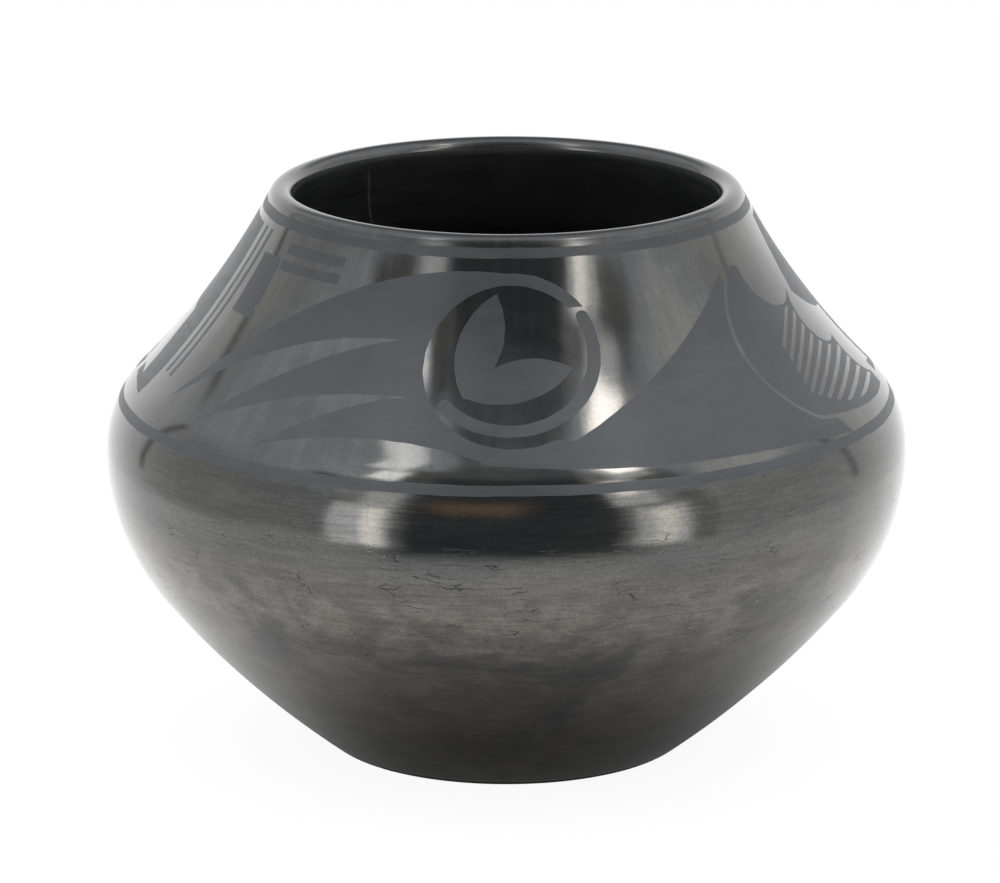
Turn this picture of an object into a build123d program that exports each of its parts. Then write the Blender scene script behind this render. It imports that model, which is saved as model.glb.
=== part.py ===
from build123d import *
import os
from math import asin, cos, degrees, radians, sin

os.makedirs("parts", exist_ok=True)

# Hand-coiled, burnished black jar with a matte painted frieze on its shoulder.
# Millimetres and degrees. The jar stands on z = 0, the middle of its foot is the origin,
# and the front of the painted frieze faces -Y.

# Outside of the polished body
HEIGHT = 144.5              # ground to the top of the lip
BELLY_RADIUS = 101.5        # at the widest point
BELLY_HEIGHT = 77.2         # of the widest point above the ground
UPPER_BELLY_ROUND = 26.6    # section radius of the turn above the widest point
SHOULDER_PITCH = 44.8       # lean of the shoulder at its lower end, from the vertical
SHOULDER_HOLLOW = 193.0     # section radius of the hollow sweep from shoulder to lip
LOWER_BELLY_ROUND = 55.9    # section radius of the turn below the widest point
LOWER_PITCH = 39.8          # lean of the lower wall where that turn ends
LOWER_WALL_ROUND = 256.0    # section radius of the lower wall
FOOT_ROUND = 6.0            # section radius of the foot's edge
FOOT_RUB = 0.3              # clay rubbed off below to make the foot flat

# Clay
CLAY_WALL = 5.2             # wall thickness, also twice the lip's section radius
FLOOR_HEIGHT = 7.5          # top of the floor inside
FLOOR_ROUND = 18.0          # section radius where floor and wall meet
BASE_WALL = 27.0            # height of the base's turned-up wall, along the section
LOWER_WALL_COILS = 4        # coils from the base to the belly
BELLY_COILS = 3
SHOULDER_COILS = 3
NECK_COILS = 1              # the rim is one coil more
COIL_LAP = 4.0              # how far each joint drops from outside to inside
COIL_SWELL = 0.4            # how far each coil stands proud inside, between joints

# Slip and paint
SLIP = 0.4                  # thickness of the polished slip
SLIP_START = 4.5            # its lower edge, along the section from the foot
SLIP_INSIDE = 11.0          # how far it runs down inside the lip
PAINT = 0.3                 # top of the matte paint above the slip
PAINT_SEAT = 0.05           # hairline under the paint
RIM_LINE = (1.2, 3.7)       # edges of the rim line, along the section below the lip
SHOULDER_LINE = (5.2, 7.7)  # edges of the shoulder line, along the section below the shoulder's lower end
FRIEZE_TOP = 5.7            # top of the frieze, along the section below the lip
FRIEZE_FOOT = 4.9           # bottom of the frieze, along the section below the shoulder's lower end
FRIEZE_TILT = 36.0          # upward tilt of the plane on which the frieze is drawn
PANELS = (0, 180)           # the frieze's figures are painted once on each side

# Frieze, drawn flat around the middle of the shoulder: across, then up the slope.
# The sizes are those on a shoulder of this radius at its middle and this slope; on others the drawing is fitted.
DRAWN_RADIUS = 74.8
DRAWN_SLOPE = 57.5
DISC_CENTRE = (1.2, -3.0)
DISC_WINDOW = 21.5          # radius of the bare round left in the feather field
RING_CENTRE = (0.7, 0.9)
RING = (19.0, 22.2)         # inner and outer radius of the painted ring, open to the upper left
RING_SPAN = (-140, 31)      # directions of its rounded ends
LEAF_LENGTH = 28.0
LEAF_WIDTH = 11.0
LEAF_ROOT = 16.0            # from the ring's centre to where the two leaves meet
LEAF_AXIS = 45.0            # direction from that root through the ring's centre
LEAF_SPREAD = 28.0          # of each leaf to either side of that direction
FIELD_START = 50.0          # direction from the disc in which the field begins
FIELD = [                   # corners of the feather field, each with the bow of the edge after it
    (18.6, 14.0, -2.4),     # end of the arm over the disc
    (0, 21.4, -6.4),        # crown over the disc
    (-84, 7, 3.4),          # tip of the high feather
    (-26, 6.2, -2.2),
    (-78, -4.2, 1.8),       # tip of the middle feather
    (-25, -9.2, -1.7),
    (-62, -16.3, 2.9),      # tip of the low feather
    (-4, -28.8, -9.0),      # foot of the frieze
    (86, -3.8, 0),          # heel of the wing
    (66, 8, 0),             # within the fan, which is cleared from the field
    (52.3, 30, 5.0),        # tip of the wing
    (16.5, -21.8, 0),       # inner end of the wing
]
FIELD_END = -60.0           # direction from the disc in which the field ends
FAN_AZIMUTH = 71.0          # around the jar from the disc
FAN = [                     # corners of the fan's outer edge, each with the bow of the edge after it
    (-15.6, 17.3, -11.3),
    (-22.7, -25.4, -3.2),
    (24.0, -28.6, 0),
]
FAN_GAP = 1.2               # bare line between fan and wing
FAN_LOBES = [(26.5, -14.0, 11.0), (11.3, -3.0, 9.5), (-2.2, 13.5, 11.5)]  # centre and radius of each bare round
FAN_RIM = 1.0               # painted line along those rounds
FAN_SLOTS = 10              # bare slots that part the feathers
FAN_SLOT = 1.3              # their width
FAN_SLOT_POLE = (-83, -44)  # point towards which they run
FAN_SLOT_SPAN = (10.4, 29)  # directions of the first and the last slot from that point
FAN_SLOT_EDGE = [           # corners of the edge on which the slots end, as for the fan
    (-12.5, 6, 0),
    (-18.9, -19.3, -2.0),
    (2, -28.2, -0.4),
    (22, -26.6, 0),
]
STROKE_AZIMUTH = 101.0
BAND = [                    # corners of the broad stroke, with a thorn at its side and a hook at its foot
    (-17, 26, 0),
    (-29, 6.5, -2.5),
    (-12.5, -6, 0),
    (-12.5, -12.5, 0),
    (-9.6, -26.5, 0),
    (-17.5, -24.6, 0),
    (-18.2, -27.6, 0),
    (1.7, -30.2, 0),
    (2.8, -20, 0),
    (2.8, 26, 0),
]
STROKES = [6.5, 10.6]       # middle of each thin stroke
STROKE = 1.6                # their width
STROKE_ENDS = (-20.8, 26.0)
BARS = [(6.8, 9.6), (11.4, 13.9)]  # edges of the short bars, along the section below the lip
BAR_SECTOR = (122, 141.3)   # their azimuths
PATCH = (11.4, 28.0)        # edges and azimuths of the patch beside them
PATCH_SECTOR = (113, 121.3)

WALL = SLIP + CLAY_WALL


def outward(pitch):
    """Unit vector out of the wall in the section, where the wall leans out by this pitch."""
    return Vector(cos(radians(pitch)), -sin(radians(pitch)))


def corner(level, wall_radius, round_radius):
    """Centre of the round between a level floor and the lower wall, and the pitch where they meet."""
    pitch = degrees(asin((lower_centre.Y - level - round_radius) / (wall_radius - round_radius)))
    return lower_centre + outward(pitch) * (wall_radius - round_radius), pitch


# Section of the outside: five arcs that run into one another, foot to lip.
# Each is its centre, its radius (negative where hollow) and the pitch of the wall at both ends.
upper_belly_centre = Vector(BELLY_RADIUS - UPPER_BELLY_ROUND, BELLY_HEIGHT)
lower_belly_centre = Vector(BELLY_RADIUS - LOWER_BELLY_ROUND, BELLY_HEIGHT)
lower_centre = lower_belly_centre + outward(LOWER_PITCH) * (LOWER_BELLY_ROUND - LOWER_WALL_ROUND)
shoulder_centre = upper_belly_centre + outward(-SHOULDER_PITCH) * (UPPER_BELLY_ROUND + SHOULDER_HOLLOW)
foot_centre, foot_pitch = corner(-FOOT_RUB, LOWER_WALL_ROUND, FOOT_ROUND)
lip_round = SLIP + CLAY_WALL / 2
lip_pitch = degrees(asin((HEIGHT - lip_round - shoulder_centre.Y) / (SHOULDER_HOLLOW + lip_round)))
ARCS = [
    (foot_centre, FOOT_ROUND, 90, foot_pitch),
    (lower_centre, LOWER_WALL_ROUND, foot_pitch, LOWER_PITCH),
    (lower_belly_centre, LOWER_BELLY_ROUND, LOWER_PITCH, 0),
    (upper_belly_centre, UPPER_BELLY_ROUND, 0, -SHOULDER_PITCH),
    (shoulder_centre, -SHOULDER_HOLLOW, -SHOULDER_PITCH, lip_pitch),
]

# Distance along the section, from the flat of the foot to the end of each arc
ARC_ENDS = [0]
for centre, radius, pitch_0, pitch_1 in ARCS:
    ARC_ENDS.append(ARC_ENDS[-1] + abs(radius * radians(pitch_1 - pitch_0)))
LIP = ARC_ENDS[-1]
SHOULDER = ARC_ENDS[-2]


def pitch_at(distance, arc):
    """Pitch of the wall on one arc, at a distance along the section."""
    pitch_0, pitch_1 = ARCS[arc][2:]
    return pitch_0 + (pitch_1 - pitch_0) * (distance - ARC_ENDS[arc]) / (ARC_ENDS[arc + 1] - ARC_ENDS[arc])


def arc_at(distance):
    """The arc that holds a distance along the section."""
    return next((i for i in range(len(ARCS)) if distance <= ARC_ENDS[i + 1]), len(ARCS) - 1)


def wall_point(distance, depth, arc=None):
    """Point of the section at a distance along it, this far in from the polished outside."""
    arc = arc_at(distance) if arc is None else arc
    centre, radius = ARCS[arc][:2]
    return centre + outward(pitch_at(distance, arc)) * (radius - depth)


def wall_curve(start, end, depth):
    """Edges of the section from start up to end, this far in from the polished outside."""
    edges = []
    for arc in range(len(ARCS)):
        low = max(start, ARC_ENDS[arc])
        high = min(end, ARC_ENDS[arc + 1])
        if low < high:
            edges.append(ThreePointArc(*[wall_point(d, depth, arc) for d in (low, (low + high) / 2, high)]))
    return edges


def lip_curve(radius):
    """Half round over the top of the lip."""
    middle = wall_point(LIP, lip_round)
    crest = Vector(sin(radians(lip_pitch)), cos(radians(lip_pitch)))
    side = outward(lip_pitch)
    return ThreePointArc(middle + side * radius, middle + crest * radius, middle - side * radius)


def turned(edges, angle=360):
    """Solid turned about the jar's axis from the edges of a closed section."""
    return revolve(Plane.XZ * make_face(edges), Axis.Z, angle)


def band(start, end, inner, outer, angle=360):
    """Turned layer between two depths, from start up to end along the section."""
    return turned(
        wall_curve(start, end, outer)
        + wall_curve(start, end, inner)
        + [Line(wall_point(d, outer), wall_point(d, inner)) for d in (start, end)],
        angle,
    )


def joint_line(seam):
    """Lapped joint in the section: the seam shows higher outside than inside."""
    return Line(wall_point(seam, SLIP), wall_point(seam - COIL_LAP, WALL))


# Clay: base, coils and rim
courses = {
    "lower_wall_coil": LOWER_WALL_COILS,
    "belly_coil": BELLY_COILS,
    "shoulder_coil": SHOULDER_COILS,
    "neck_coil": NECK_COILS,
}
course_names = [f"{name}_{i + 1}" for name, count in courses.items() for i in range(count)]
coil_count = len(course_names) + 1
coil_height = (LIP - BASE_WALL) / coil_count
seams = [BASE_WALL + coil_height * i for i in range(coil_count)]

floor_centre, floor_pitch = corner(FLOOR_HEIGHT, LOWER_WALL_ROUND - WALL, FLOOR_ROUND)
floor_side = floor_centre + outward(floor_pitch) * FLOOR_ROUND
floor_turn = floor_centre + outward((90 + floor_pitch) / 2) * FLOOR_ROUND
floor_edge = Vector(floor_centre.X, FLOOR_HEIGHT)
inner_seam_pitch = pitch_at(seams[0] - COIL_LAP, 1)
inner_wall_middle = lower_centre + outward((inner_seam_pitch + floor_pitch) / 2) * (LOWER_WALL_ROUND - WALL)
base = turned(
    [
        Line((0, -FOOT_RUB), wall_point(0, 0, 0)),
        *wall_curve(0, SLIP_START, 0),
        Line(wall_point(SLIP_START, 0), wall_point(SLIP_START, SLIP)),
        *wall_curve(SLIP_START, seams[0], SLIP),
        joint_line(seams[0]),
        ThreePointArc(wall_point(seams[0] - COIL_LAP, WALL), inner_wall_middle, floor_side),
        ThreePointArc(floor_side, floor_turn, floor_edge),
        Line(floor_edge, (0, FLOOR_HEIGHT)),
        Line((0, FLOOR_HEIGHT), (0, -FOOT_RUB)),
    ]
)

pieces = {"base": base}
for name, low, high in zip(course_names, seams, seams[1:]):
    swell = wall_point((low + high) / 2 - COIL_LAP, WALL + COIL_SWELL)
    inside = ThreePointArc(wall_point(low - COIL_LAP, WALL), swell, wall_point(high - COIL_LAP, WALL))
    pieces[name] = turned([joint_line(low), *wall_curve(low, high, SLIP), joint_line(high), inside])

pieces["rim_coil"] = turned(
    [
        joint_line(seams[-1]),
        *wall_curve(seams[-1], LIP, SLIP),
        lip_curve(CLAY_WALL / 2),
        *wall_curve(seams[-1] - COIL_LAP, LIP, WALL),
    ]
)

# Polished slip over the outside and the lip, and a little way down inside
slip_end = LIP - SLIP_INSIDE
pieces["slip_coat"] = turned(
    [
        Line(wall_point(SLIP_START, 0), wall_point(SLIP_START, SLIP)),
        *wall_curve(SLIP_START, LIP, 0),
        lip_curve(lip_round),
        *wall_curve(slip_end, LIP, WALL + SLIP),
        Line(wall_point(slip_end, WALL + SLIP), wall_point(slip_end, WALL)),
        *wall_curve(slip_end, LIP, WALL),
        lip_curve(CLAY_WALL / 2),
        *wall_curve(SLIP_START, LIP, SLIP),
    ]
)


def paint_layer(start, end, angle=360):
    """Turned layer of paint on the slip, from start up to end along the section."""
    return band(start, end, -PAINT_SEAT, -PAINT, angle)


# Paint: two lines all the way round, and the figures of the frieze between them
pieces["rim_line_paint"] = paint_layer(LIP - RIM_LINE[1], LIP - RIM_LINE[0])
pieces["shoulder_line_paint"] = paint_layer(SHOULDER - SHOULDER_LINE[1], SHOULDER - SHOULDER_LINE[0])

frieze_low = SHOULDER - FRIEZE_FOOT
frieze_high = LIP - FRIEZE_TOP
frieze_front = Rot(0, 0, 180) * paint_layer(frieze_low, frieze_high, 180)
frieze_middle = wall_point((SHOULDER + LIP) / 2, 0)
frieze_fit = min(frieze_middle.X / DRAWN_RADIUS, (frieze_high - frieze_low) / DRAWN_SLOPE)
frieze_normal = (0, -cos(radians(FRIEZE_TILT)), sin(radians(FRIEZE_TILT)))
frieze_plane = Plane((0, -frieze_middle.X, frieze_middle.Y), x_dir=(1, 0, 0), z_dir=frieze_normal)


def bowed(start, end, bow):
    """Edge from start to end that stands off their straight line by bow, to the left of its run."""
    start, end = Vector(start), Vector(end)
    side = (end - start).rotate(Axis.Z, 90).normalized()
    return ThreePointArc(start, (start + end) / 2 + side * bow, end) if bow else Line(start, end)


def figure(corners):
    """Flat figure from its corners in order, each with the bow of the edge after it."""
    return make_face([bowed(a[:2], b[:2], a[2]) for a, b in zip(corners, corners[1:] + corners[:1])])


def polar(radius, direction):
    """Flat point at a distance from the middle, in a direction."""
    return Vector(radius * cos(radians(direction)), radius * sin(radians(direction)))


def column(flat):
    """Flat figure drawn out into a column that runs through the front of the shoulder."""
    fitted = Pos(flat.position * (frieze_fit - 1)) * scale(flat, frieze_fit)
    return extrude(frieze_plane.offset(-BELLY_RADIUS / 2) * fitted, BELLY_RADIUS)


def painted(flat, azimuth=0):
    """Paint where a flat figure, laid against the shoulder at an azimuth, meets the jar."""
    return Rot(0, 0, azimuth) * (column(flat) & frieze_front)


def sector(edges, azimuths):
    """Paint between two edges below the lip and two azimuths."""
    high, low = [LIP - edge * frieze_fit for edge in edges]
    layer = paint_layer(low, high, azimuths[1] - azimuths[0])
    return Rot(0, 0, azimuths[0] - 90) * layer


def both_sides(*figures):
    """The same painted figures on each side of the jar."""
    solids = [solid for painting in figures for solid in painting.solids()]
    return Compound([Rot(0, 0, azimuth) * solid for azimuth in PANELS for solid in solids])


disc_place = Pos(*DISC_CENTRE)
window_edge = [Vector(DISC_CENTRE) + polar(DISC_WINDOW, direction) for direction in (FIELD_START, FIELD_END)]
field_start, field_end = [(point.X, point.Y, 0) for point in window_edge]
field = painted(figure([field_start, *FIELD, field_end]) - disc_place * Circle(DISC_WINDOW))
lobe_centres = [(x, y, 0) for x, y, radius in FAN_LOBES]
fan = figure(FAN + lobe_centres)
fan_clearance = Rot(0, 0, FAN_AZIMUTH) * column(offset(fan, FAN_GAP))
pieces["feather_field_paint"] = both_sides(field - fan_clearance)

ring_place = Pos(*RING_CENTRE)
ring_middle = CenterArc((0, 0), sum(RING) / 2, RING_SPAN[0], RING_SPAN[1] - RING_SPAN[0])
pieces["disc_ring_paint"] = both_sides(painted(ring_place * SlotArc(ring_middle, RING[1] - RING[0])))

leaf = figure([(0, 0, LEAF_WIDTH / 2), (LEAF_LENGTH, 0, LEAF_WIDTH / 2)])
leaf_place = ring_place * Pos(*polar(LEAF_ROOT, LEAF_AXIS + 180)) * Rot(0, 0, LEAF_AXIS)
leaf_pair = Rot(0, 0, LEAF_SPREAD) * leaf + Rot(0, 0, -LEAF_SPREAD) * leaf
pieces["leaf_pair_paint"] = both_sides(painted(leaf_place * leaf_pair))

slot_zone = figure(FAN_SLOT_EDGE + lobe_centres)
for x, y, radius in FAN_LOBES:
    fan -= Pos(x, y) * Circle(radius)
    slot_zone -= Pos(x, y) * Circle(radius + FAN_RIM)
slot_first, slot_last = FAN_SLOT_SPAN
for i in range(FAN_SLOTS):
    direction = slot_first + (slot_last - slot_first) * i / (FAN_SLOTS - 1)
    slot = Pos(*FAN_SLOT_POLE) * Rot(0, 0, direction) * Rectangle(4 * BELLY_RADIUS, FAN_SLOT)
    fan -= slot & slot_zone
pieces["feather_fan_paint"] = both_sides(painted(fan, FAN_AZIMUTH))

stroke_low, stroke_high = STROKE_ENDS
strokes = [figure(BAND)]
for middle in STROKES:
    strokes.append(Pos(middle, (stroke_low + stroke_high) / 2) * Rectangle(STROKE, stroke_high - stroke_low))
brush_marks = [painted(stroke, STROKE_AZIMUTH) for stroke in strokes]
brush_marks += [sector(edges, BAR_SECTOR) for edges in BARS]
brush_marks.append(sector(PATCH, PATCH_SECTOR))
pieces["brush_bars_paint"] = both_sides(*brush_marks)

# Foot rubbed flat on the ground
pieces["base"] = split(pieces["base"], Plane.XY, Keep.TOP)

for name, piece in pieces.items():
    piece.label = name
    export_step(piece, f"parts/{name}.step")
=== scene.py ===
"""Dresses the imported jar: polished slip, matte painted frieze, smoked clay, and a plain white studio."""
from math import asin, cos, degrees, pi, radians, sin

import bpy
import numpy as np
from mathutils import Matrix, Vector
from mathutils.geometry import delaunay_2d_cdt


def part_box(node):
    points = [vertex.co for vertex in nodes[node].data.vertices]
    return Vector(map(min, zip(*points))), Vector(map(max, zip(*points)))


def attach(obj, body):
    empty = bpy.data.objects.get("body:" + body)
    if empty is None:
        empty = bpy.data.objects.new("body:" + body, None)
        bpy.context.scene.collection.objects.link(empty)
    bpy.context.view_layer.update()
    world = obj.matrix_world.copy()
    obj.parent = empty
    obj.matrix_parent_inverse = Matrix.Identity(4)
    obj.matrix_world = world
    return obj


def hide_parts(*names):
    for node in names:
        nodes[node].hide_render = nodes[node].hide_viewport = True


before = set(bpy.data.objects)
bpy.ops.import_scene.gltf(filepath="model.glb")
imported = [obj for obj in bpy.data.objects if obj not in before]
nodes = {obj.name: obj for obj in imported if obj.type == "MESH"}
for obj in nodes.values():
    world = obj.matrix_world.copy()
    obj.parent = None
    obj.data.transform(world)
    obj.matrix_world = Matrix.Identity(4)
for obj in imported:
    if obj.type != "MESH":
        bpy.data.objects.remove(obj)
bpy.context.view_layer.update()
MM = 0.001
MICRON = 1e-6
TINY = 1e-9

# Section of the jar's outside, in millimetres and degrees, as the solids have it
slip_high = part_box("slip_coat")[1]
HEIGHT = slip_high.z / MM
BELLY_RADIUS = slip_high.x / MM
BELLY_HEIGHT = 77.2
UPPER_BELLY_ROUND = 26.6
SHOULDER_PITCH = 44.8
SHOULDER_HOLLOW = 193.0
LOWER_BELLY_ROUND = 55.9
LOWER_PITCH = 39.8
LOWER_WALL_ROUND = 256.0
FOOT_ROUND = 6.0
FOOT_RUB = 0.3
CLAY_WALL = 5.2
SLIP = 0.4
SLIP_START = 4.5
SLIP_INSIDE = 11.0
PAINT = 0.3

# How the polished skin is made
AROUND = 448                # points round the skin
STEP = 1.0                  # millimetres between its rings
LIP_STEPS = 28              # rings over the lip
SLIP_FEATHER = 7.0          # length over which the slip thins out inside
FEATHER_LEAST = 0.06        # share of its thickness that is left at the end
NORMAL_STEP = 0.02          # steps along and round the skin by which its normals are found
NORMAL_TURN = 0.0003
WOBBLE_RISE = 12            # length over which the unevenness sets in above the foot
# Unevenness of hand work: height in mm, waves round, wave length up the wall in mm, two phases
WOBBLES = [
    (0.060, 2, 150.0, 0.4, 1.1),
    (0.045, 3, 70.0, 2.1, 0.3),
    (0.030, 5, 46.0, 4.4, 2.6),
    (0.018, 9, 31.0, 1.7, 5.0),
    (0.012, 14, 22.0, 3.0, 0.9),
]

# How the paint on it is made
FILM = 0.015                # height of the paint on the skin
FILM_FOOT = -FILM / 3       # height of the foot of its edge, just under the skin
FILM_EDGE = 0.03            # width of its bevelled edge
FILM_GRID = 1.4             # spacing of its inner points
GRID_ROW = 0.87             # spacing of their rows, as a share of that
GRID_CLEAR = 0.45           # their least distance from the edge, as a share of that
FILM_EDGE_STEP = 0.5        # spacing of the points along its edge
FLAT_RADIUS = 75.0          # the flat drawing's across is azimuth times this, in millimetres
CORNER = cos(radians(34))   # cosine of the turn from which a point of the edge is a corner
ROUNDING = 8                # passes that round off the chords between corners
BRUSH_WOBBLE = 0.06         # how far the brush strays from the drawn edge
# Waves of that stray, across and along: how fast they run across and along, and their phase
STRAYS = [
    [(0.55, 0.90, 0.7), (-0.4, 1.3, 2.0)],
    [(0.80, -0.50, 1.9), (1.1, 0.7, 4.1)],
]
# Waves of a line's edge: share, waves round, times the edge's phase; and the phases of its lower and upper edge
SWAYS = [(1.0, 7, 1), (1.0, 23, 3), (0.6, 61, 5)]
SWAY_PHASES = (0.4, 2.2)
LINE_ROWS = (0, 0.33, 0.67, 1)  # where the rows of points of a line lie between its edges
TABLE_MARGIN = 20.0         # the table of heights starts this far below the shoulder
TABLE_STEP = 0.05
WELD_DECIMALS = 3           # decimals of a millimetre to which points are one
CDT_INSIDE = 1              # the triangulation keeps what is inside its edges
CDT_NEAR = 1e-5

# Camera, fitted to the photograph's frame of 1000 x 883
FRAME_WIDTH = 1000
FRAME_HEIGHT = 883
CAMERA_PLACE = (0.0, -1.6, 0.5)
CAMERA_AIM = (0.0, 0.0, 0.07)
CAMERA_FOCUS = 6500         # focal length in pixels of that frame
AIM_PIXEL = (506.5, 469.3)
SENSOR = 36.0


def outward(pitch):
    """Unit vector out of the wall in the section, where the wall leans out by this pitch."""
    return np.array([cos(radians(pitch)), -sin(radians(pitch))])


upper_belly_centre = np.array([BELLY_RADIUS - UPPER_BELLY_ROUND, BELLY_HEIGHT])
lower_belly_centre = np.array([BELLY_RADIUS - LOWER_BELLY_ROUND, BELLY_HEIGHT])
lower_centre = lower_belly_centre + outward(LOWER_PITCH) * (LOWER_BELLY_ROUND - LOWER_WALL_ROUND)
shoulder_centre = upper_belly_centre + outward(-SHOULDER_PITCH) * (UPPER_BELLY_ROUND + SHOULDER_HOLLOW)
foot_pitch = degrees(asin((lower_centre[1] + FOOT_RUB - FOOT_ROUND) / (LOWER_WALL_ROUND - FOOT_ROUND)))
foot_centre = lower_centre + outward(foot_pitch) * (LOWER_WALL_ROUND - FOOT_ROUND)
lip_round = SLIP + CLAY_WALL / 2
lip_pitch = degrees(asin((HEIGHT - lip_round - shoulder_centre[1]) / (SHOULDER_HOLLOW + lip_round)))
lip_middle = shoulder_centre - outward(lip_pitch) * (SHOULDER_HOLLOW + lip_round)
# Arcs from the foot up: centre, radius, pitch at each end
ARCS = [
    (foot_centre, FOOT_ROUND, 90, foot_pitch),
    (lower_centre, LOWER_WALL_ROUND, foot_pitch, LOWER_PITCH),
    (lower_belly_centre, LOWER_BELLY_ROUND, LOWER_PITCH, 0),
    (upper_belly_centre, UPPER_BELLY_ROUND, 0, -SHOULDER_PITCH),
    (shoulder_centre, -SHOULDER_HOLLOW, -SHOULDER_PITCH, lip_pitch),
]
ARC_ENDS = [0.0]
for _, arc_radius, arc_start, arc_end in ARCS:
    ARC_ENDS.append(ARC_ENDS[-1] + abs(arc_radius * radians(arc_end - arc_start)))
LIP = ARC_ENDS[-1]
SHOULDER = ARC_ENDS[-2]


def section(distance, depth=0.0):
    """Points (radius, height) and normals of the section, at distances along it and a depth in from the outside."""
    distance = np.atleast_1d(np.asarray(distance, float))
    depth = np.broadcast_to(depth, distance.shape)
    points = np.zeros((len(distance), 2))
    normals = np.zeros((len(distance), 2))
    arcs = np.clip(np.searchsorted(ARC_ENDS, distance) - 1, 0, len(ARCS) - 1)
    for i, (centre, radius, start, end) in enumerate(ARCS):
        here = arcs == i
        share = (distance[here] - ARC_ENDS[i]) / (ARC_ENDS[i + 1] - ARC_ENDS[i])
        pitch = np.radians(start + (end - start) * share)
        normals[here] = np.stack([np.cos(pitch), -np.sin(pitch)], -1)
        points[here] = centre + normals[here] * (radius - depth[here, None])
    return points, normals


def wobble(distance, azimuth):
    """How far the hand-made wall stands off its true section."""
    total = sum(
        height * np.sin(turns * azimuth + phase) * np.cos(2 * pi * distance / length + shift)
        for height, turns, length, phase, shift in WOBBLES
    )
    return total * np.clip((distance - SLIP_START) / WOBBLE_RISE, 0, 1)


def all_round(count):
    """Azimuths of this many points all the way round."""
    return np.arange(count) * 2 * pi / count


def on_jar(points, azimuth):
    """Section points (radius, height) turned to their azimuths, in metres. Azimuth 0 is the front, -Y."""
    return np.stack([points[:, 0] * np.sin(azimuth), -points[:, 0] * np.cos(azimuth), points[:, 1]], -1) * MM


def on_skin(distance, azimuth, lift=0.0):
    """Points in metres on the polished skin, or this far above it."""
    points, normals = section(distance)
    stand = wobble(distance, azimuth) + lift
    return on_jar(points + normals * np.asarray(stand).reshape(-1, 1), azimuth)


def skin_normals(distance, azimuth):
    """Unit normals of the polished skin."""
    along = on_skin(distance + NORMAL_STEP, azimuth) - on_skin(distance - NORMAL_STEP, azimuth)
    around = on_skin(distance, azimuth + NORMAL_TURN) - on_skin(distance, azimuth - NORMAL_TURN)
    normals = np.cross(around, along)
    return normals / np.linalg.norm(normals, axis=1, keepdims=True)


def ring_faces(rings, count):
    """Faces between rings of this many points each."""
    return [
        (i * count + j, i * count + (j + 1) % count, (i + 1) * count + (j + 1) % count, (i + 1) * count + j)
        for i in range(rings - 1)
        for j in range(count)
    ]


def mesh_object(name, vertices, faces, material):
    """A mesh, put into the scene."""
    mesh = bpy.data.meshes.new(name)
    mesh.from_pydata([tuple(v) for v in vertices], [], faces)
    mesh.update()
    mesh.materials.append(material)
    made = bpy.data.objects.new(name, mesh)
    bpy.context.scene.collection.objects.link(made)
    return made


def mesh_piece(name, vertices, faces, normals, material, slot, replaced):
    """A smooth-shaded mesh that rides on the jar and stands for a CAD node, with these normals if any are given."""
    piece = mesh_object(name, vertices, faces, material)
    piece.data.polygons.foreach_set("use_smooth", [True] * len(piece.data.polygons))
    piece.data.update()
    if normals is not None:
        piece.data.normals_split_custom_set_from_vertices([tuple(n) for n in normals])
    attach(piece, "root")
    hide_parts(replaced)
    return piece


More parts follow.
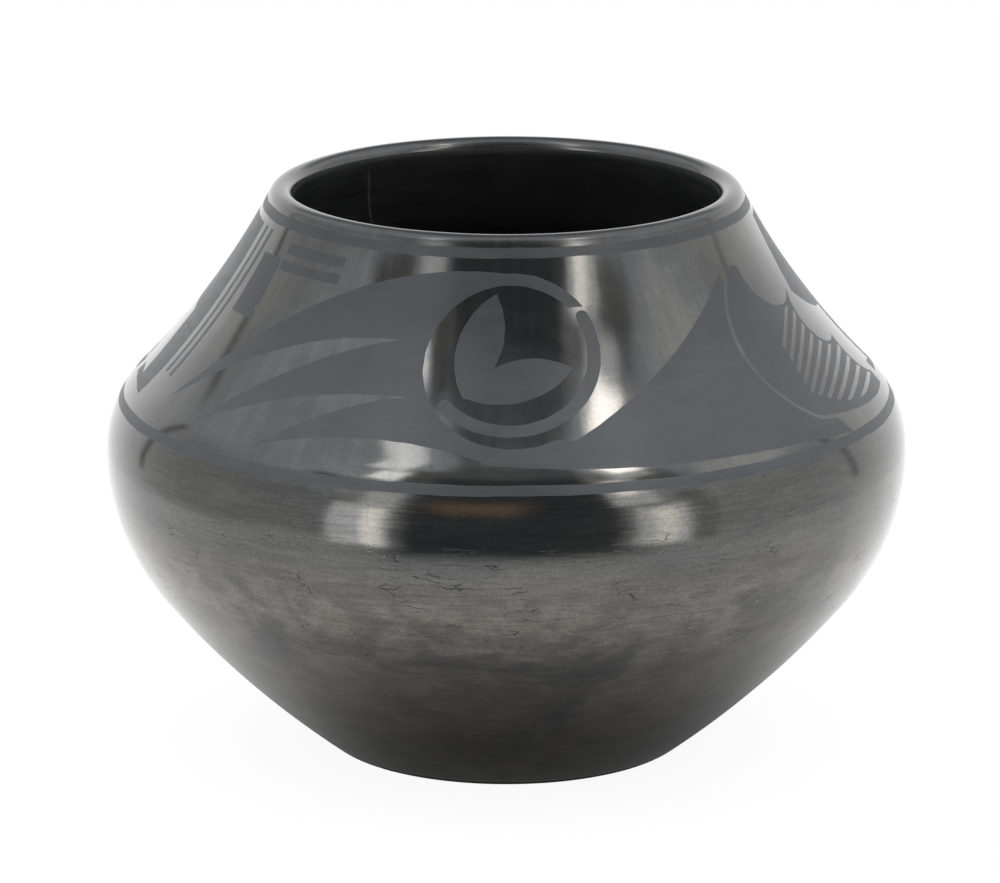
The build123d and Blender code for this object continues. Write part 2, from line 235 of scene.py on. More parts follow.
class Graph:
    """Builds a node tree. node() gives the node that it adds, and the calls below fill() give its output."""

    def __init__(self, tree):
        self.tree = tree
        tree.nodes.clear()

    def node(self, kind, inputs=None, **settings):
        made = self.tree.nodes.new(kind)
        for key, value in settings.items():
            setattr(made, key, value)
        self.fill(made, inputs or {})
        return made

    def fill(self, node, inputs):
        """Links or sets inputs of a node, each by its name or number."""
        for key, value in inputs.items():
            if isinstance(value, bpy.types.NodeSocket):
                self.tree.links.new(value, node.inputs[key])
            else:
                node.inputs[key].default_value = value

    def math(self, operation, *values):
        return self.node("ShaderNodeMath", dict(enumerate(values)), operation=operation).outputs[0]

    def product(self, first, *others):
        for value in others:
            first = self.math("MULTIPLY", first, value)
        return first

    def weighed(self, *terms):
        """Sum of values times their weights."""
        total = 0.0
        for value, weight in terms:
            total = self.math("ADD", total, self.math("MULTIPLY", value, weight))
        return total

    def vector(self, operation, *values):
        made = self.node("ShaderNodeVectorMath", dict(enumerate(values)), operation=operation)
        return made.outputs["Value" if operation == "LENGTH" else "Vector"]

    def axes(self, vector):
        """The x, y and z of a vector."""
        return self.node("ShaderNodeSeparateXYZ", {0: vector}).outputs

    def azimuth(self, axes):
        """Degrees round the jar, 0 in front."""
        return self.math("DEGREES", self.math("ARCTAN2", axes[0], self.math("MULTIPLY", axes[1], -1.0)))

    def span(self, value, low, high, to_low=0.0, to_high=1.0):
        """Smooth step of value from low to high."""
        inputs = {"Value": value, "From Min": low, "From Max": high, "To Min": to_low, "To Max": to_high}
        return self.node("ShaderNodeMapRange", inputs, interpolation_type="SMOOTHSTEP").outputs["Result"]

    def window(self, value, low, high, soft):
        """1 where value is between low and high, falling off over soft at each end."""
        rise = self.span(value, low - soft / 2, low + soft / 2)
        fall = self.span(value, high - soft / 2, high + soft / 2, 1.0, 0.0)
        return self.product(rise, fall)

    def stretched(self, vector, scale):
        return self.node("ShaderNodeMapping", {"Vector": vector, "Scale": scale}).outputs[0]

    def noise(self, vector, scale, detail, roughness=0.5, distortion=0.0):
        """Noise of this scale, which is one number or one for each axis."""
        if isinstance(scale, tuple):
            vector = self.stretched(vector, scale)
            scale = 1.0
        inputs = {"Vector": vector, "Scale": scale, "Detail": detail}
        inputs.update({"Roughness": roughness, "Distortion": distortion})
        return self.node("ShaderNodeTexNoise", inputs).outputs[0]

    def mix(self, factor, first, second, blend="MIX"):
        inputs = {0: factor, 6: first, 7: second}
        return self.node("ShaderNodeMix", inputs, data_type="RGBA", blend_type=blend).outputs[2]

    def over(self, tone, laid, *factors):
        """A tone with another laid over it, at the product of these factors."""
        return self.mix(self.product(*factors), tone, laid)

    def shaded(self, tone, factor, dark, light):
        """A tone times a shade, which goes from dark to light with the factor."""
        return self.mix(1.0, tone, self.mix(factor, dark, light), "MULTIPLY")

    def relief(self, *layers):
        """Normal of a surface with these layers of relief, each a height and its depth in microns."""
        normal = None
        for height, depth in layers:
            inputs = {"Height": height, "Distance": depth * MICRON, "Strength": 1.0}
            if normal is not None:
                inputs["Normal"] = normal
            normal = self.node("ShaderNodeBump", inputs).outputs[0]
        return normal

    def emission(self, tone):
        return self.node("ShaderNodeEmission", {"Color": tone, "Strength": 1.0}).outputs[0]

    def mix_shaders(self, factor, first, second):
        return self.node("ShaderNodeMixShader", {0: factor, 1: first, 2: second}).outputs[0]


def new_material(name, constants):
    """A material with one Principled shader, its graph, and the millimetre coordinates of the piece."""
    material = bpy.data.materials.new(name)
    material.use_nodes = True
    graph = Graph(material.node_tree)
    shader = graph.node("ShaderNodeBsdfPrincipled", constants)
    graph.node("ShaderNodeOutputMaterial", {"Surface": shader.outputs[0]})
    place = graph.node("ShaderNodeTexCoord").outputs["Object"]
    millimetres = graph.stretched(place, (1 / MM, 1 / MM, 1 / MM))
    return material, graph, shader, millimetres


def grey(value):
    """A grey as a colour."""
    return (value, value, value, 1.0)


def specks(graph, place, spacing, size, share):
    """1 in small round specks, about this far apart, of up to this radius, at this share of the places."""
    cells = graph.node("ShaderNodeTexVoronoi", {"Vector": place, "Scale": 1 / spacing}).outputs
    chosen = graph.node("ShaderNodeSeparateColor", {0: cells["Color"]}).outputs
    reach = graph.product(chosen[1], size / spacing)
    return graph.product(graph.math("LESS_THAN", cells["Distance"], reach), graph.math("LESS_THAN", chosen[0], share))


# Looks of the three materials. Lengths and heights are in millimetres.
# A noise is its scale, as one number or one for each axis, then detail, roughness and distortion.
# Tones and shades come in pairs, from the noise's low to its high. Specks are spacing, largest radius and share.

# Polished slip: a dark mirror under a clear coat
SLIP_SHADER = {"Metallic": 1.0, "Coat Weight": 1.0, "Coat Roughness": 0.09, "Coat IOR": 1.5}
SLIP_TONES = [(0.088, 0.089, 0.089, 1), (0.118, 0.117, 0.111, 1)]
LOWER_TONES = [(0.088, 0.080, 0.067, 1), (0.170, 0.160, 0.139, 1)]
SMUDGE_TONE = (0.046, 0.049, 0.053, 1)
CRACK_TONE = grey(0.012)
SLIP_SPECK_TONE = (0.34, 0.33, 0.31, 1)
WORN_LIP_TONE = (0.050, 0.051, 0.053, 1)
# Dark and light shades, each on the belly and on the shoulder
STREAK_SHADES = [(grey(0.77), grey(0.84)), (grey(1.17), grey(1.13))]
SLIP_GRAIN_SHADES = [(grey(0.84), grey(0.92)), (grey(1.18), grey(1.08))]
SLIP_ROUGHNESS = (0.08, 0.14)
LOWER_WALL = (74, 56)       # heights over which the slip goes over to the mottled lower wall
STROKED_UP = (88, 98)       # heights over which the polishing strokes go over from level to upright
WORN_LIP = (141.0, 143.5)
STROKE_RADIUS = 80.0        # upright strokes are a noise on a cylinder of this radius
STROKE_RISE = 0.09          # on which a height counts for this share
LEVEL_FINE = ((0.09, 0.09, 1.7), 5, 0.68, 0.5)
LEVEL_BROAD = ((0.018, 0.018, 0.26), 4, 0.6, 0.2)
UPRIGHT = (0.30, 5, 0.58, 0.5)
CLOUD = ((0.030, 0.030, 0.045), 4, 0.62, 0.4)
MOTTLE = ((0.085, 0.085, 0.15), 5, 0.68, 0.5)
SMUDGE = ((0.022, 0.022, 0.030), 4, 0.55, 0.8)
SCUFF = ((0.35, 0.35, 0.9), 4, 0.7, 1.2)
DENTS = ((0.06, 0.06, 0.11), 2)
SLIP_GRAIN = (1.3, 3, 0.7)
SLIP_SPECKS = (12.0, 0.50, 0.30)
CRACK_ZONE = (42, 78, 12)   # lowest and highest, and the softness of both ends
CRACK_CELLS = (0.040, 0.040, 0.40)
CRACK_WIDTH = (0.006, 0.030)
CRACK_STIR = {"Scale": 0.16, "Detail": 4.0}
CRACK_SHIFT = (12.0, 12.0, 4.0)
CRACK_BREAKS = (0.11, 5, 0.7)

# Matte paint
PAINT_SHADER = {"Sheen Weight": 0.35, "Sheen Roughness": 0.25, "IOR": 1.6}
PAINT_TONES = [(0.058, 0.067, 0.076, 1), (0.072, 0.081, 0.090, 1)]
PAINT_SPECK_TONE = (0.30, 0.30, 0.29, 1)
BRUSH_SHADES = [grey(0.90), grey(1.06)]
NECK_SHADE_GREYS = [grey(1.0), grey(0.72)]
PAINT_ROUGHNESS = (0.36, 0.44)
NECK_SHADE_HEIGHTS = (106, 132)     # heights over which painted shade darkens the paint towards the neck, where it mirrors the dark opening
BRUSH = ((0.10, 0.10, 0.55), 4, 0.6, 0.5)
BLOTCH = ((0.06, 0.06, 0.06), 3, 0.6)
PAINT_GRAIN = (2.4, 3, 0.7)
PAINT_SPECKS = (9.0, 0.45, 0.22)

# Smoked clay
CLAY_SHADER = {"IOR": 1.5}
CLAY_TONES = [(0.034, 0.0355, 0.038, 1), (0.056, 0.058, 0.060, 1)]
RUBBED_TONE = (0.110, 0.092, 0.078, 1)
SCRATCH_TONE = (0.30, 0.29, 0.27, 1)
SCRAPE_SHADES = [grey(0.8), grey(1.15)]
CLAY_ROUGHNESS = (0.42, 0.62)
SCRAPE = ((0.05, 0.05, 0.8), 4, 0.65, 0.6)
SMOKE = (0.04, 4, 0.6)
GRIT = (1.6, 4, 0.75)
RUBBED = (1.1, 0.1)         # heights over which the foot gets rubbed
# The pale scratch down the inside: azimuths at its top, and heights, each with the softness of both ends
SCRATCH_AZIMUTHS = (-140.8, -140.2, 0.4)
SCRATCH_HEIGHTS = (121, 138, 6)
SCRATCH_TOP = 137.0
SCRATCH_LEAN = 0.45         # degrees by which it goes aside in a millimetre


def polished_slip():
    """Burnished, smoke-blackened slip: dark mirror with stone-polish streaks, fire clouds and hairline cracks."""
    material, graph, shader, place = new_material("polished_slip", SLIP_SHADER)
    height = graph.axes(place)[2]
    lower = graph.span(height, *LOWER_WALL)
    shoulder = graph.span(height, *STROKED_UP)
    lip = graph.span(height, *WORN_LIP)
    mottle = graph.noise(place, *MOTTLE)
    grain = graph.noise(place, *SLIP_GRAIN)

    # The stone ran round the belly, and up and down the shoulder
    aside = graph.vector("NORMALIZE", graph.vector("MULTIPLY", place, (1.0, 1.0, 0.0)))
    rise = graph.vector("MULTIPLY", place, (0.0, 0.0, STROKE_RISE))
    on_cylinder = graph.vector("MULTIPLY_ADD", aside, (STROKE_RADIUS, STROKE_RADIUS, STROKE_RADIUS), rise)
    level = graph.weighed((graph.noise(place, *LEVEL_FINE), 0.7), (graph.noise(place, *LEVEL_BROAD), 0.3))
    upright = graph.weighed((graph.noise(on_cylinder, *UPRIGHT), 0.6), (mottle, 0.4))
    streak = graph.weighed((upright, shoulder), (level, graph.math("SUBTRACT", 1.0, shoulder)))

    # Hairline cracks along the belly, broken up so that they come in short lengths
    stir = graph.node("ShaderNodeTexNoise", {"Vector": place, **CRACK_STIR}).outputs["Color"]
    stirred = graph.stretched(graph.vector("MULTIPLY_ADD", stir, CRACK_SHIFT, place), CRACK_CELLS)
    cells = graph.node("ShaderNodeTexVoronoi", {"Vector": stirred, "Scale": 1.0}, feature="DISTANCE_TO_EDGE")
    crack = graph.product(
        graph.span(cells.outputs["Distance"], *CRACK_WIDTH, 1.0, 0.0),
        graph.span(graph.noise(place, *CRACK_BREAKS), 0.50, 0.60),
        graph.window(height, *CRACK_ZONE),
    )

    # Knocks: pale specks, and scuffs where the polish is worn
    speck = specks(graph, place, *SLIP_SPECKS)
    scuff = graph.span(graph.noise(place, *SCUFF), 0.64, 0.74)

    tone = graph.mix(graph.span(graph.noise(place, *CLOUD), 0.35, 0.68), *SLIP_TONES)
    lower_tone = graph.mix(graph.span(mottle, 0.34, 0.66), *LOWER_TONES)
    tone = graph.over(tone, lower_tone, lower, 0.9)
    tone = graph.over(tone, SMUDGE_TONE, graph.span(graph.noise(place, *SMUDGE), 0.56, 0.68), lower, 0.75)
    streak_shades = [graph.mix(shoulder, *shades) for shades in STREAK_SHADES]
    tone = graph.shaded(tone, graph.span(streak, 0.36, 0.64), *streak_shades)
    grain_shades = [graph.mix(shoulder, *shades) for shades in SLIP_GRAIN_SHADES]
    tone = graph.shaded(tone, graph.span(grain, 0.30, 0.70), *grain_shades)
    tone = graph.over(tone, CRACK_TONE, crack, 0.75)
    tone = graph.over(tone, SLIP_SPECK_TONE, speck, 0.6)
    tone = graph.over(tone, WORN_LIP_TONE, lip, 0.5)

    polish = graph.span(streak, 0.30, 0.70, *SLIP_ROUGHNESS)
    rough = graph.weighed((polish, 1.0), (lower, 0.08), (crack, 0.30), (scuff, 0.14), (lip, 0.22))
    dents = graph.noise(place, *DENTS)
    sound = graph.math("SUBTRACT", 1.0, crack)
    normal = graph.relief((dents, 38), (streak, 7), (mottle, 8), (grain, 1.5), (sound, 22), (speck, 12))
    graph.fill(shader, {"Base Color": tone, "Roughness": rough, "Normal": normal, "Coat Normal": normal})
    return material


def matte_paint():
    """Thin slip paint fired matte: slate grey with brush streaks and faint blotches, and painted shade towards the
    neck.
    """
    material, graph, shader, place = new_material("matte_paint", PAINT_SHADER)
    brush = graph.noise(place, *BRUSH)
    streak = graph.span(brush, 0.3, 0.7)
    tone = graph.mix(graph.span(graph.noise(place, *BLOTCH), 0.35, 0.68), *PAINT_TONES)
    tone = graph.shaded(tone, streak, *BRUSH_SHADES)
    # Painted shade: the paint darkens towards the neck, where it mirrors the dark opening in front
    tone = graph.shaded(tone, graph.span(graph.axes(place)[2], *NECK_SHADE_HEIGHTS), *NECK_SHADE_GREYS)
    tone = graph.over(tone, PAINT_SPECK_TONE, specks(graph, place, *PAINT_SPECKS), 0.7)
    rough = graph.span(brush, 0.3, 0.7, *PAINT_ROUGHNESS)
    normal = graph.relief((brush, 4), (graph.noise(place, *PAINT_GRAIN), 5))
    graph.fill(shader, {"Base Color": tone, "Roughness": rough, "Normal": normal})
    return material


def smoked_clay():
    """Scraped clay, smoked black: inside of the jar, and its foot, rubbed where it stands."""
    material, graph, shader, place = new_material("smoked_clay", CLAY_SHADER)
    axes = graph.axes(place)
    height = axes[2]
    scrape = graph.noise(place, *SCRAPE)
    grit = graph.noise(place, *GRIT)
    tone = graph.mix(graph.span(graph.noise(place, *SMOKE), 0.35, 0.7), *CLAY_TONES)
    tone = graph.shaded(tone, graph.span(scrape, 0.3, 0.7), *SCRAPE_SHADES)
    tone = graph.over(tone, RUBBED_TONE, graph.span(height, *RUBBED), graph.span(grit, 0.40, 0.62))
    drop = graph.math("SUBTRACT", SCRATCH_TOP, height)
    leant = graph.weighed((graph.azimuth(axes), 1.0), (drop, SCRATCH_LEAN))
    scratch = graph.product(graph.window(leant, *SCRATCH_AZIMUTHS), graph.window(height, *SCRATCH_HEIGHTS))
    tone = graph.over(tone, SCRATCH_TONE, scratch, graph.span(grit, 0.30, 0.60), 0.7)
    rough = graph.span(scrape, 0.3, 0.7, *CLAY_ROUGHNESS)
    normal = graph.relief((scrape, 60), (grit, 30))
    graph.fill(shader, {"Base Color": tone, "Roughness": rough, "Normal": normal})
    return material


slip_material = polished_slip()
paint_material = matte_paint()
clay_material = smoked_clay()

# Polished skin: outside, lip and a little way down inside
up = np.arange(SLIP_START, LIP, STEP)
outside, outside_normals = section(up)
crest = np.array([sin(radians(lip_pitch)), cos(radians(lip_pitch))])
turn = np.linspace(0, pi, LIP_STEPS)
over_normals = np.cos(turn)[:, None] * outward(lip_pitch) + np.sin(turn)[:, None] * crest
over = lip_middle + over_normals * lip_round
down = np.arange(LIP - STEP, LIP - SLIP_INSIDE, -STEP)
feather = np.clip((down - LIP + SLIP_INSIDE) / SLIP_FEATHER, FEATHER_LEAST, 1)
inside, inside_normals = section(down, CLAY_WALL + SLIP + SLIP * feather)
edge, edge_normals = section([LIP - SLIP_INSIDE - STEP / 2], CLAY_WALL + SLIP)
foot_edge, foot_edge_normals = section([SLIP_START - STEP / 4], SLIP / 2)
profile = np.concatenate([foot_edge, outside, over, inside, edge])
profile_normals = np.concatenate([foot_edge_normals, outside_normals, over_normals, -inside_normals, -edge_normals])
profile_distance = np.concatenate([[SLIP_START], up, np.full(len(over) + len(inside) + 1, LIP)])
azimuths = all_round(AROUND)
skin_rings = []
for point, normal, distance in zip(profile, profile_normals, profile_distance):
    stand = wobble(distance, azimuths)
    skin_rings.append(on_jar(point + normal * stand[:, None], azimuths))
skin_faces = ring_faces(len(skin_rings), AROUND)
skin_points = np.concatenate(skin_rings)
skin = mesh_piece("polished_skin", skin_points, skin_faces, None, slip_material, "polished_slip", "slip_coat")

# From three quarters of the way over the lip, the skin is as smoked as the clay below it
skin.data.materials.append(clay_material)
inside_start = len(foot_edge) + len(up) + len(over) * 3 // 4
ring_of_face = np.arange(len(skin_faces)) // AROUND
skin.data.polygons.foreach_set("material_index", (ring_of_face >= inside_start).astype(np.int32))

# Paint: each CAD figure's outer face is laid on the skin as a thin film, its edge as a brush leaves it
table_distance = np.arange(SHOULDER - TABLE_MARGIN, LIP + TABLE_STEP / 5, TABLE_STEP)
table_points, table_normals = section(table_distance)
table_height = (table_points + table_normals * PAINT)[:, 1]


def outer_islands(node):
    """Outer faces of a paint node: its points as (azimuth, distance), and islands of triangles."""
    mesh = nodes[node].data
    co = np.array([v.co for v in mesh.vertices]) / MM
    reach = np.hypot(co[:, 0], co[:, 1])
    distance = np.interp(co[:, 2], table_height, table_distance)
    points, normals = section(distance)
    lift = ((np.stack([reach, co[:, 2]], -1) - points) * normals).sum(1)
    outer = np.abs(lift - PAINT) < PAINT / 4
    keys = {}
    welded = [keys.setdefault(tuple(np.round(c, WELD_DECIMALS)), len(keys)) for c in co]
    place = np.zeros((len(keys), 2))
    for i, w in enumerate(welded):
        place[w] = np.arctan2(co[i, 0], -co[i, 1]), distance[i]
    triangles = []
    mesh.calc_loop_triangles()
    for triangle in mesh.loop_triangles:
        if all(outer[v] for v in triangle.vertices):
            corners = [welded[v] for v in triangle.vertices]
            if len(set(corners)) == 3:
                triangles.append(corners)
    group = list(range(len(keys)))

    def root(v):
        while group[v] != v:
            group[v] = group[group[v]]
            v = group[v]
        return v

    for a, b, c in triangles:
        group[root(b)] = root(a)
        group[root(c)] = root(a)
    islands = {}
    for corners in triangles:
        islands.setdefault(root(corners[0]), []).append(corners)
    return place, list(islands.values())


def border_loops(triangles):
    """Closed runs of the edges that only one triangle uses."""
    sides = [side for a, b, c in triangles for side in ((a, b), (b, c), (c, a))]
    uses = {}
    for side in sides:
        uses[frozenset(side)] = uses.get(frozenset(side), 0) + 1
    following = {}
    for start, end in sides:
        if uses[frozenset((start, end))] == 1:
            following.setdefault(start, []).append(end)
    loops = []
    while following:
        start = min(following)
        run = [start]
        while True:
            ends = following[run[-1]]
            run_on = ends.pop()
            if not ends:
                del following[run[-1]]
            if run_on == start:
                break
            run.append(run_on)
        loops.append(run)
    return loops


def brushed(loop):
    """A loop of flat points in millimetres, finely stepped, its chords rounded off, strayed as a brush strays."""
    steps, corner = [], []
    for before, start, end in zip(np.roll(loop, 1, axis=0), loop, np.roll(loop, -1, axis=0)):
        run_in, run_out = start - before, end - start
        lengths = np.linalg.norm(run_in) * np.linalg.norm(run_out)
        count = max(1, int(np.ceil(np.linalg.norm(run_out) / FILM_EDGE_STEP)))
        steps.extend(start + run_out * i / count for i in range(count))
        corner.extend([run_in @ run_out < CORNER * lengths] + [False] * (count - 1))
    steps = np.array(steps)
    rounded = ~np.array(corner)[:, None]
    for _ in range(ROUNDING):
        neighbours = (np.roll(steps, 1, axis=0) + np.roll(steps, -1, axis=0)) / 2
        steps = steps + (neighbours - steps) / 2 * rounded
    u, v = steps[:, 0], steps[:, 1]
    stray = np.stack([sum(np.sin(a * u + b * v + c) for a, b, c in waves) for waves in STRAYS], -1)
    return steps + stray * BRUSH_WOBBLE / 2


def inside_loops(points, loops):
    """Which flat points lie inside the loops, holes left out."""
    within = np.zeros(len(points), bool)
    for loop in loops:
        for (x0, y0), (x1, y1) in zip(loop, np.roll(loop, -1, axis=0)):
            if y0 != y1:
                crosses = (points[:, 1] >= min(y0, y1)) & (points[:, 1] < max(y0, y1))
                at = x0 + (points[:, 1] - y0) * (x1 - x0) / (y1 - y0)
                within ^= crosses & (points[:, 0] < at)
    return within


def film_of(place, triangles):
    """Flat points of the film for one island of paint, the azimuth of its middle, and its faces."""
    member = sorted({v for t in triangles for v in t})
    middle = np.arctan2(np.sin(place[member, 0]).mean(), np.cos(place[member, 0]).mean())
    flat = []
    for loop in border_loops(triangles):
        around = (place[loop, 0] - middle + pi) % (2 * pi) - pi
        flat.append(brushed(np.stack([around * FLAT_RADIUS, place[loop, 1]], -1)))
    border = np.concatenate(flat)
    low, high = border.min(0), border.max(0)
    across = np.arange(low[0], high[0], FILM_GRID)
    along = np.arange(low[1], high[1], FILM_GRID * GRID_ROW)
    grid = np.array([(u + FILM_GRID / 2 * (k % 2), v) for k, v in enumerate(along) for u in across])
    grid = grid[inside_loops(grid, flat)]
    if len(grid):
        clear = np.min(((grid[:, None] - border[None]) ** 2).sum(2), axis=1) > (FILM_GRID * GRID_CLEAR) ** 2
        grid = grid[clear]
    edges = []
    start = 0
    for loop in flat:
        count = len(loop)
        edges.extend((start + i, start + (i + 1) % count) for i in range(count))
        start += count
    given = [Vector(p) for p in np.concatenate([border, grid])]
    made = delaunay_2d_cdt(given, edges, [], CDT_INSIDE, CDT_NEAR)
    points = np.array([tuple(p) for p in made[0]])
    flat_faces = np.array(made[2])
    flat_faces = flat_faces[inside_loops(points[flat_faces].mean(1), flat)]
    return points, middle, flat_faces.tolist()


def paint_film(node):
    """Lays a paint node on the skin as films, all in one piece."""
    place, islands = outer_islands(node)
    vertices, film_faces, normals = [], [], []
    total = 0
    for triangles in islands:
        points, middle, flat_faces = film_of(place, triangles)
        azimuth = middle + points[:, 0] / FLAT_RADIUS
        top = on_skin(points[:, 1], azimuth, FILM)
        oriented = []
        for a, b, c in flat_faces:
            normal = np.cross(top[b] - top[a], top[c] - top[a])
            outward_here = np.array([top[a][0], top[a][1], 0.0])
            oriented.append((a, b, c) if normal @ outward_here > 0 else (a, c, b))

        # The film's edge: a narrow bevel down from its rim
        directed = {run: True for face in oriented for run in zip(face, face[1:] + face[:1])}
        rim = [(s, e) for s, e in directed if (e, s) not in directed]
        away = np.zeros_like(points)
        for s, e in rim:
            run = points[e] - points[s]
            side = np.array([run[1], -run[0]]) / max(np.linalg.norm(run), TINY)
            away[s] += side
            away[e] += side
        away /= np.maximum(np.linalg.norm(away, axis=1, keepdims=True), TINY)
        rim_points = sorted({v for pair in rim for v in pair})
        low_index = {v: len(points) + k for k, v in enumerate(rim_points)}
        spread = points[rim_points] + away[rim_points] * FILM_EDGE
        spread_azimuth = middle + spread[:, 0] / FLAT_RADIUS
        vertices.extend([top, on_skin(spread[:, 1], spread_azimuth, FILM_FOOT)])
        normals.extend([skin_normals(points[:, 1], azimuth), skin_normals(spread[:, 1], spread_azimuth)])
        film_faces.extend(tuple(total + v for v in face) for face in oriented)
        film_faces.extend((total + e, total + s, total + low_index[s], total + low_index[e]) for s, e in rim)
        total += len(points) + len(rim_points)
    return np.concatenate(vertices), film_faces, np.concatenate(normals)


def line_film(node):
    """A painted line all the way round, as a film with brushed edges."""
    low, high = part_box(node)
    distance = [np.interp(z, table_height, table_distance) for z in (low.z / MM, high.z / MM)]
    azimuth = all_round(2 * AROUND)
    sway = [
        BRUSH_WOBBLE * sum(share * np.sin(turns * azimuth + times * phase) for share, turns, times in SWAYS)
        for phase in SWAY_PHASES
    ]
    # Rows of points: shift past the edge, share of the way from the lower edge to the upper, height
    rows = [(-FILM_EDGE, 0, FILM_FOOT)]
    rows += [(0, share, FILM) for share in LINE_ROWS]
    rows += [(FILM_EDGE, 1, FILM_FOOT)]
    film_rings, normals = [], []
    for shift, share, lift in rows:
        run = distance[0] + (distance[1] - distance[0]) * share + shift + sway[0] * (1 - share) + sway[1] * share
        film_rings.append(on_skin(run, azimuth, lift))
        normals.append(skin_normals(run, azimuth))
    return np.concatenate(film_rings), ring_faces(len(rows), len(azimuth)), np.concatenate(normals)


for node in ("rim_line_paint", "shoulder_line_paint"):
    mesh_piece(node.replace("_paint", "_film"), *line_film(node), paint_material, "matte_paint", node)
for node in ("feather_field_paint", "disc_ring_paint", "leaf_pair_paint", "feather_fan_paint", "brush_bars_paint"):
    mesh_piece(node.replace("_paint", "_film"), *paint_film(node), paint_material, "matte_paint", node)

# Clay: the CAD solids keep their shape
for node in nodes.values():
    if not node.hide_render:
        node.data.materials.clear()
        node.data.materials.append(clay_material)

# Studio: white table, white tent with a dark opening in front and tall lights on each side of it
WHITE = grey(1.0)
ROOM = (0.136, 0.143, 0.150, 1.0)   # what shows through the opening
OPENING = (-31.0, 34.0)     # azimuths of the opening
OPENING_SOFT = 9.0

# The table, in millimetres
FLOOR_RADIUS = 360.0
FLOOR_HOLE = foot_centre[0] - 0.5   # hidden under the foot, it lets light onto the underside
FLOOR_DROP = 0.1            # keeps the floor clear of the foot's own face
FLOOR_SEGMENTS = 96

# What it shows, by distances from the jar's axis in metres
FLOOR_TONE = grey(0.9)
MIRRORED_SHADOW = (0.052, 0.165)    # where the painted shadow on the floor that the jar mirrors goes over to plain white
MIRRORED_DARK = 0.08        # the painted shadow's brightness by the foot
SIDE_LIGHT = (0.020, 0.011)  # painted side light: how much nearer it is white to the left and to the right of the jar
SIDES = (-0.1, 0.1)         # sines of the azimuths over which left goes over to right
TABLE_FRONT = (0.23, 0.36)  # where it goes over to the dark of the tent's opening
TABLE_FRONT_SOFT = 16.0
SHOWN_SHADOW = (0.045, 0.100)       # the shadow on the floor that the camera sees
SHADOW_SHARE = 0.07         # how much of it the camera is shown


def white_floor():
    """White table. The jar mirrors it as a glow with a painted shadow, dark by the foot, and from below it can be
    seen through.
    """
    material = bpy.data.materials.new("white_floor")
    material.use_nodes = True
    graph = Graph(material.node_tree)
    place = graph.node("ShaderNodeTexCoord").outputs["Object"]
    axes = graph.axes(place)
    reach = graph.vector("LENGTH", place)
    rays = graph.node("ShaderNodeLightPath").outputs

    # Painted shadow and painted side light in the glow that the jar mirrors
    aside = graph.math("DIVIDE", axes[0], reach)
    side_light = graph.product(graph.span(aside, *SIDES, *SIDE_LIGHT), aside, aside)
    mirrored = graph.span(graph.math("ADD", reach, side_light), *MIRRORED_SHADOW, MIRRORED_DARK, 1.0)
    in_opening = graph.window(graph.azimuth(axes), *OPENING, TABLE_FRONT_SOFT)
    mirrored = graph.over(mirrored, ROOM, in_opening, graph.span(reach, *TABLE_FRONT))

    shown = graph.product(rays["Is Camera Ray"], graph.span(reach, *SHOWN_SHADOW, 1 - SHADOW_SHARE, 1.0))
    table = graph.node("ShaderNodeBsdfDiffuse", {"Color": FLOOR_TONE}).outputs[0]
    table = graph.mix_shaders(shown, table, graph.emission(WHITE))
    mirror_rays = graph.math("MAXIMUM", rays["Is Glossy Ray"], rays["Is Transmission Ray"])
    table = graph.mix_shaders(mirror_rays, table, graph.emission(mirrored))
    below = graph.node("ShaderNodeNewGeometry").outputs["Backfacing"]
    table = graph.mix_shaders(below, table, graph.node("ShaderNodeBsdfTransparent").outputs[0])
    graph.node("ShaderNodeOutputMaterial", {"Surface": table})
    return material


floor_rings = [
    on_jar(np.full((FLOOR_SEGMENTS, 2), (radius, -FLOOR_DROP)), all_round(FLOOR_SEGMENTS))
    for radius in (FLOOR_RADIUS, FLOOR_HOLE)
]
floor_faces = ring_faces(len(floor_rings), FLOOR_SEGMENTS)
floor = mesh_object("floor", np.concatenate(floor_rings), floor_faces, white_floor())

# The tent: brightness of its parts, and the azimuths and elevations, in degrees, at which they meet
WALL_LEFT = grey(0.66)
WALL_RIGHT = grey(0.80)
WALL_TURN = (-0.5, 0.5)     # sideways part of the direction over which the left wall goes over to the right
WALL_BACK = grey(0.95)
BACK_TURN = (0.35, 0.95)    # backward part of the direction over which they go over to the back
CEILING = (0.92, 0.97, 1.02, 1.0)
CEILING_RISE = (22, 42)
TABLE_FALL = (-7, -22)      # elevations over which the walls go over to the white table
OPENING_TOP = (70.0, 78.0)
ROOM_WARM = (0.44, 0.30, 0.21, 1.0)
WARM_PATCH = ((-22, 6), (21, 33), (14, 10))
ROOM_TOP = (0.31, 0.32, 0.33, 1.0)
ROOM_TOP_RISE = (55, 61)
BEHIND = (138.0, 150.0)     # azimuths, either way round, from which the tent is open behind
BEHIND_HEIGHT = (26.0, 74.0, 8.0)   # lowest and highest of that opening, and the softness of both
WARM_LIGHT = (1.0, 0.94, 0.87)
PLAIN_LIGHT = (1.0, 1.0, 1.0)
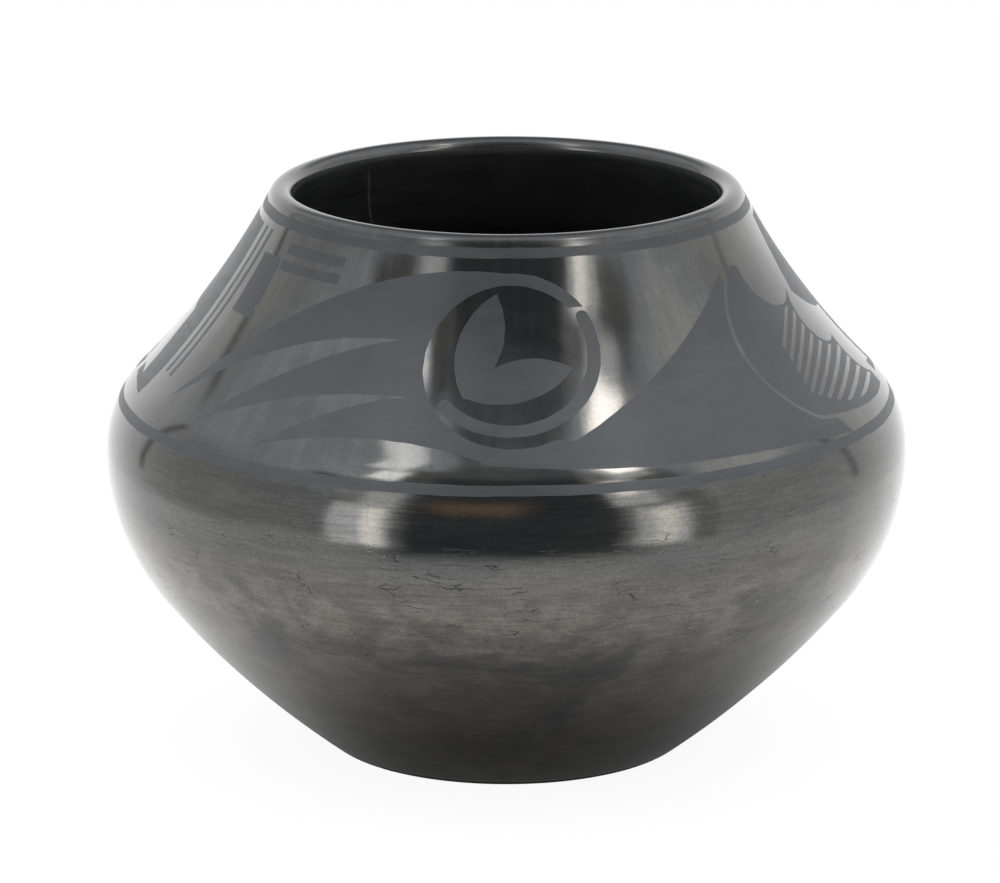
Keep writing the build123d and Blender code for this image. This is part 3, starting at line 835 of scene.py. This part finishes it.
# Azimuths, elevations, softness of both, brightness and tint: first dark bands and pale panels, then the lights
PATCHES = [
    ((72, 104), (33, 50), (10, 8), 1.22, PLAIN_LIGHT),
    ((-70, -47), (36, 45), (8, 5), 0.30, PLAIN_LIGHT),
    ((46, 64), (38, 56), (8, 8), 0.38, PLAIN_LIGHT),
    ((53, 62), (-20, 30), (6, 8), 0.52, PLAIN_LIGHT),
    ((-128.5, -125.5), (-5, 28), (2.5, 5), 0.25, PLAIN_LIGHT),
    ((115.5, 118.5), (-5, 30), (2.5, 5), 0.40, PLAIN_LIGHT),
    ((-41.5, -28), (47, 63), (3, 4), 0.30, PLAIN_LIGHT),
    ((30, 40), (50, 62), (4, 5), 0.55, PLAIN_LIGHT),
    ((-51.5, -34), (-18, 21), (3, 5), 2.1, PLAIN_LIGHT),
    ((-41.5, -36), (-17, 19), (2, 5), 4.0, WARM_LIGHT),
    ((-44, -33), (21, 47), (4, 4), 1.5, PLAIN_LIGHT),
    ((-54, -41.5), (49, 59), (2, 4), 4.2, PLAIN_LIGHT),
    ((-67, -48), (60, 72), (5, 5), 3.4, PLAIN_LIGHT),
    ((37, 53), (-23, 20), (4, 5), 1.8, PLAIN_LIGHT),
    ((42, 49), (-22, 18), (3, 4), 3.0, WARM_LIGHT),
    ((32, 47), (24, 50), (4, 4), 1.8, PLAIN_LIGHT),
    ((35.5, 42), (34, 50), (2, 4), 4.3, WARM_LIGHT),
    ((42, 58), (51, 66), (4, 4), 1.8, PLAIN_LIGHT),
    ((46, 60), (57, 66), (3, 3), 9.0, WARM_LIGHT),
]


def tent():
    """The surroundings that the jar mirrors. The camera itself sees plain white."""
    world = bpy.data.worlds.new("tent")
    world.use_nodes = True
    graph = Graph(world.node_tree)
    direction = graph.axes(graph.node("ShaderNodeTexCoord").outputs["Generated"])
    azimuth = graph.azimuth(direction)
    elevation = graph.math("DEGREES", graph.math("ARCSINE", direction[2]))

    def patch(across, upright, softness):
        return graph.product(
            graph.window(azimuth, *across, softness[0]),
            graph.window(elevation, *upright, softness[1]),
        )

    light = graph.mix(graph.span(direction[0], *WALL_TURN), WALL_LEFT, WALL_RIGHT)
    light = graph.mix(graph.span(elevation, *CEILING_RISE), light, CEILING)
    light = graph.mix(graph.span(direction[1], *BACK_TURN), light, WALL_BACK)
    light = graph.mix(graph.span(elevation, *TABLE_FALL), light, WHITE)
    room = graph.mix(patch(*WARM_PATCH), ROOM, ROOM_WARM)
    room = graph.mix(graph.span(elevation, *ROOM_TOP_RISE), room, ROOM_TOP)
    in_opening = graph.window(azimuth, *OPENING, OPENING_SOFT)
    light = graph.over(light, room, in_opening, graph.span(elevation, *OPENING_TOP, 1.0, 0.0))
    from_behind = graph.span(graph.math("ABSOLUTE", azimuth), *BEHIND)
    light = graph.over(light, ROOM_TOP, from_behind, graph.window(elevation, *BEHIND_HEIGHT))
    for across, upright, softness, brightness, tint in PATCHES:
        tone = tuple(brightness * part for part in tint) + (1.0,)
        light = graph.mix(patch(across, upright, softness), light, tone)
    light = graph.mix(graph.node("ShaderNodeLightPath").outputs["Is Camera Ray"], light, WHITE)
    background = graph.node("ShaderNodeBackground", {"Color": light, "Strength": 1.0})
    graph.node("ShaderNodeOutputWorld", {"Surface": background.outputs[0]})
    return world


bpy.context.scene.world = tent()

# Camera
camera = bpy.data.cameras.new("camera")
camera.sensor_width = SENSOR
camera.lens = CAMERA_FOCUS * SENSOR / FRAME_WIDTH
camera.shift_x = (FRAME_WIDTH / 2 - AIM_PIXEL[0]) / FRAME_WIDTH
camera.shift_y = (AIM_PIXEL[1] - FRAME_HEIGHT / 2) / FRAME_WIDTH
camera_object = bpy.data.objects.new("camera", camera)
camera_object.location = CAMERA_PLACE
camera_object.rotation_euler = (Vector(CAMERA_AIM) - Vector(CAMERA_PLACE)).to_track_quat("-Z", "Y").to_euler()
bpy.context.scene.collection.objects.link(camera_object)
bpy.context.scene.camera = camera_object
bpy.context.scene.view_settings.view_transform = "Standard"
